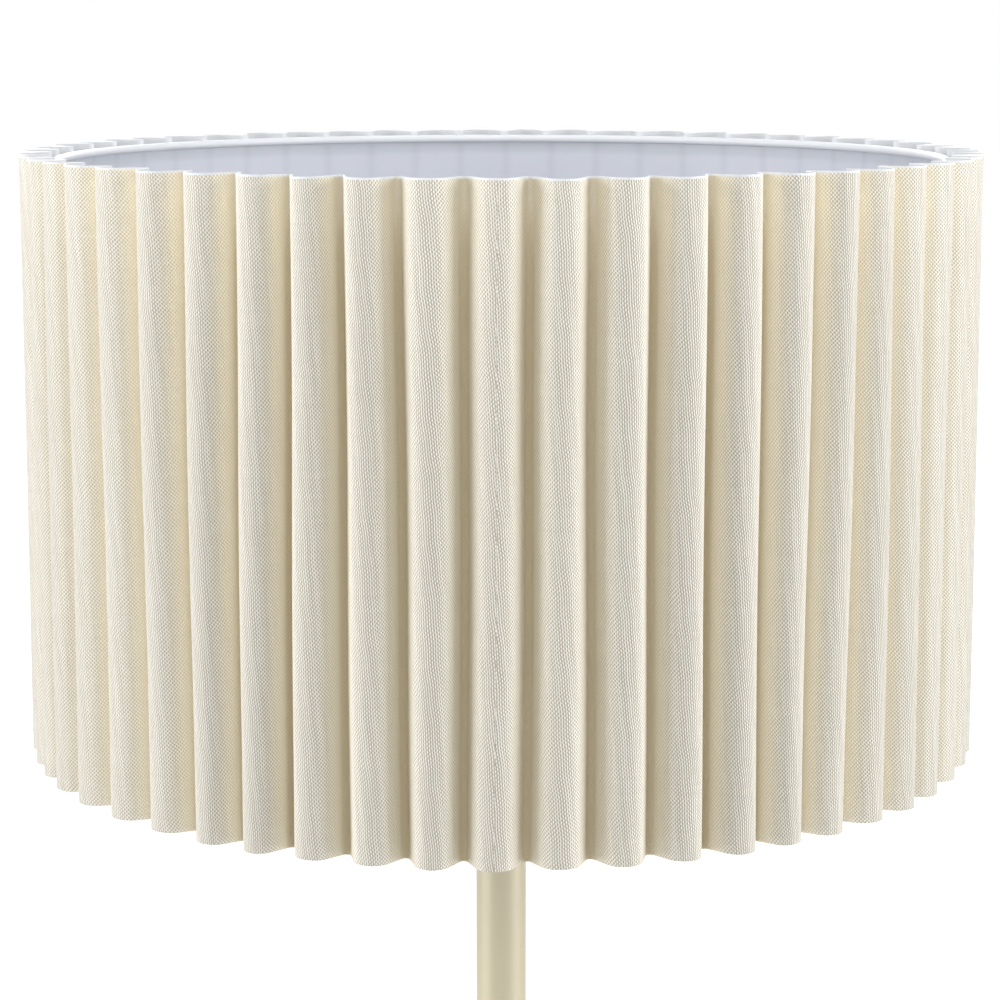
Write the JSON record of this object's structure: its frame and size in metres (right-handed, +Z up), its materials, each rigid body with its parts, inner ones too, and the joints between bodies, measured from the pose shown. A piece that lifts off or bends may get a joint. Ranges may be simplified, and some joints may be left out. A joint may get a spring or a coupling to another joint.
{
  "type": "floor lamp",
  "caption": "Floor lamp with a wave-pleated drum shade in cream fabric on a slim round pole and a flat round weighted base.",
  "frame": {"origin": "on the floor, on the axis of the pole", "axes": "+Z up along the pole; -Y is the front as pictured; the switch knob points along +X"},
  "size_m": [0.4058, 0.4058, 1.54],
  "materials": {
    "champagne_paint": "satin",
    "cast_iron": "rough cast, dipped black",
    "foam_pad": "matt foam",
    "zinc_steel": "zinc plated",
    "ivory_plastic": "satin moulded",
    "moulded_core": "unglazed",
    "insulating_sleeve": "matt",
    "brass": "satin",
    "white_wire": "satin white",
    "ring_wire": "plain drawn wire",
    "liner_white": "matt white sheet",
    "pleated_fabric": "woven canvas on white backing",
    "bulb_frost": "frosted diffuser",
    "bulb_plastic": "white moulded",
    "bulb_nickel": "nickel plated",
    "bulb_insulator": "black",
    "led_board": "white solder mask"
  },
  "bodies": {
    "stand": {"base_pad": "foam_pad", "base_weight": "cast_iron", "base_cover": "champagne_paint", "cord_bushing": "ivory_plastic", "base_nipple": "zinc_steel", "base_washer": "zinc_steel", "base_lock_washer": "zinc_steel", "base_nut": "zinc_steel", "base_collar": "champagne_paint", "pole_lower": "champagne_paint", "pole_lower_foot_insert": "zinc_steel", "pole_lower_head_insert": "zinc_steel", "pole_middle": "champagne_paint", "pole_middle_foot_insert": "zinc_steel", "pole_middle_head_insert": "zinc_steel", "pole_upper": "champagne_paint", "pole_upper_foot_insert": "zinc_steel", "pole_upper_head_insert": "zinc_steel", "lower_joint_stud": "zinc_steel", "upper_joint_stud": "zinc_steel", "pole_top_cap": "champagne_paint", "holder_nipple": "zinc_steel", "holder_cap": "champagne_paint", "holder_set_screw": "zinc_steel", "holder_lock_nut": "zinc_steel", "holder_shell": "ivory_plastic", "holder_core": "moulded_core", "holder_sleeve": "insulating_sleeve", "holder_screw_shell": "brass", "holder_centre_contact": "brass", "holder_terminal_screws": "brass", "shade_ring_nut": "ivory_plastic", "switch_bushing": "brass"},
    "switch": {"switch_stem": "brass", "switch_knob": "ivory_plastic"},
    "shade": {"fitter_hub": "white_wire", "fitter_arm_1": "white_wire", "fitter_arm_2": "white_wire", "fitter_arm_3": "white_wire", "top_ring_wire": "ring_wire", "bottom_ring_wire": "ring_wire", "top_edge_roll": "liner_white", "bottom_edge_roll": "liner_white", "shade_liner": "liner_white", "pleated_cover": "pleated_fabric"},
    "bulb": {"bulb_tip_contact": "bulb_nickel", "bulb_tip_insulator": "bulb_insulator", "bulb_screw_cap": "bulb_nickel", "bulb_body": "bulb_plastic", "bulb_led_board": "led_board", "bulb_dome": "bulb_frost"}
  },
  "joints": [
    {"name": "shade_turn", "type": "hinge", "parent": "stand", "child": "shade", "pos_m": [0, 0, 1.3345], "axis": [0, 0, 1], "continuous": true},
    {"name": "switch_turn", "type": "hinge", "parent": "stand", "child": "switch", "pos_m": [0.03, 0, 1.32], "axis": [1, 0, 0], "continuous": true},
    {"name": "bulb_rise", "type": "slide", "parent": "stand", "child": "bulb", "axis": [0, 0, 1], "range_m": [0, 0.024]}
  ]
}
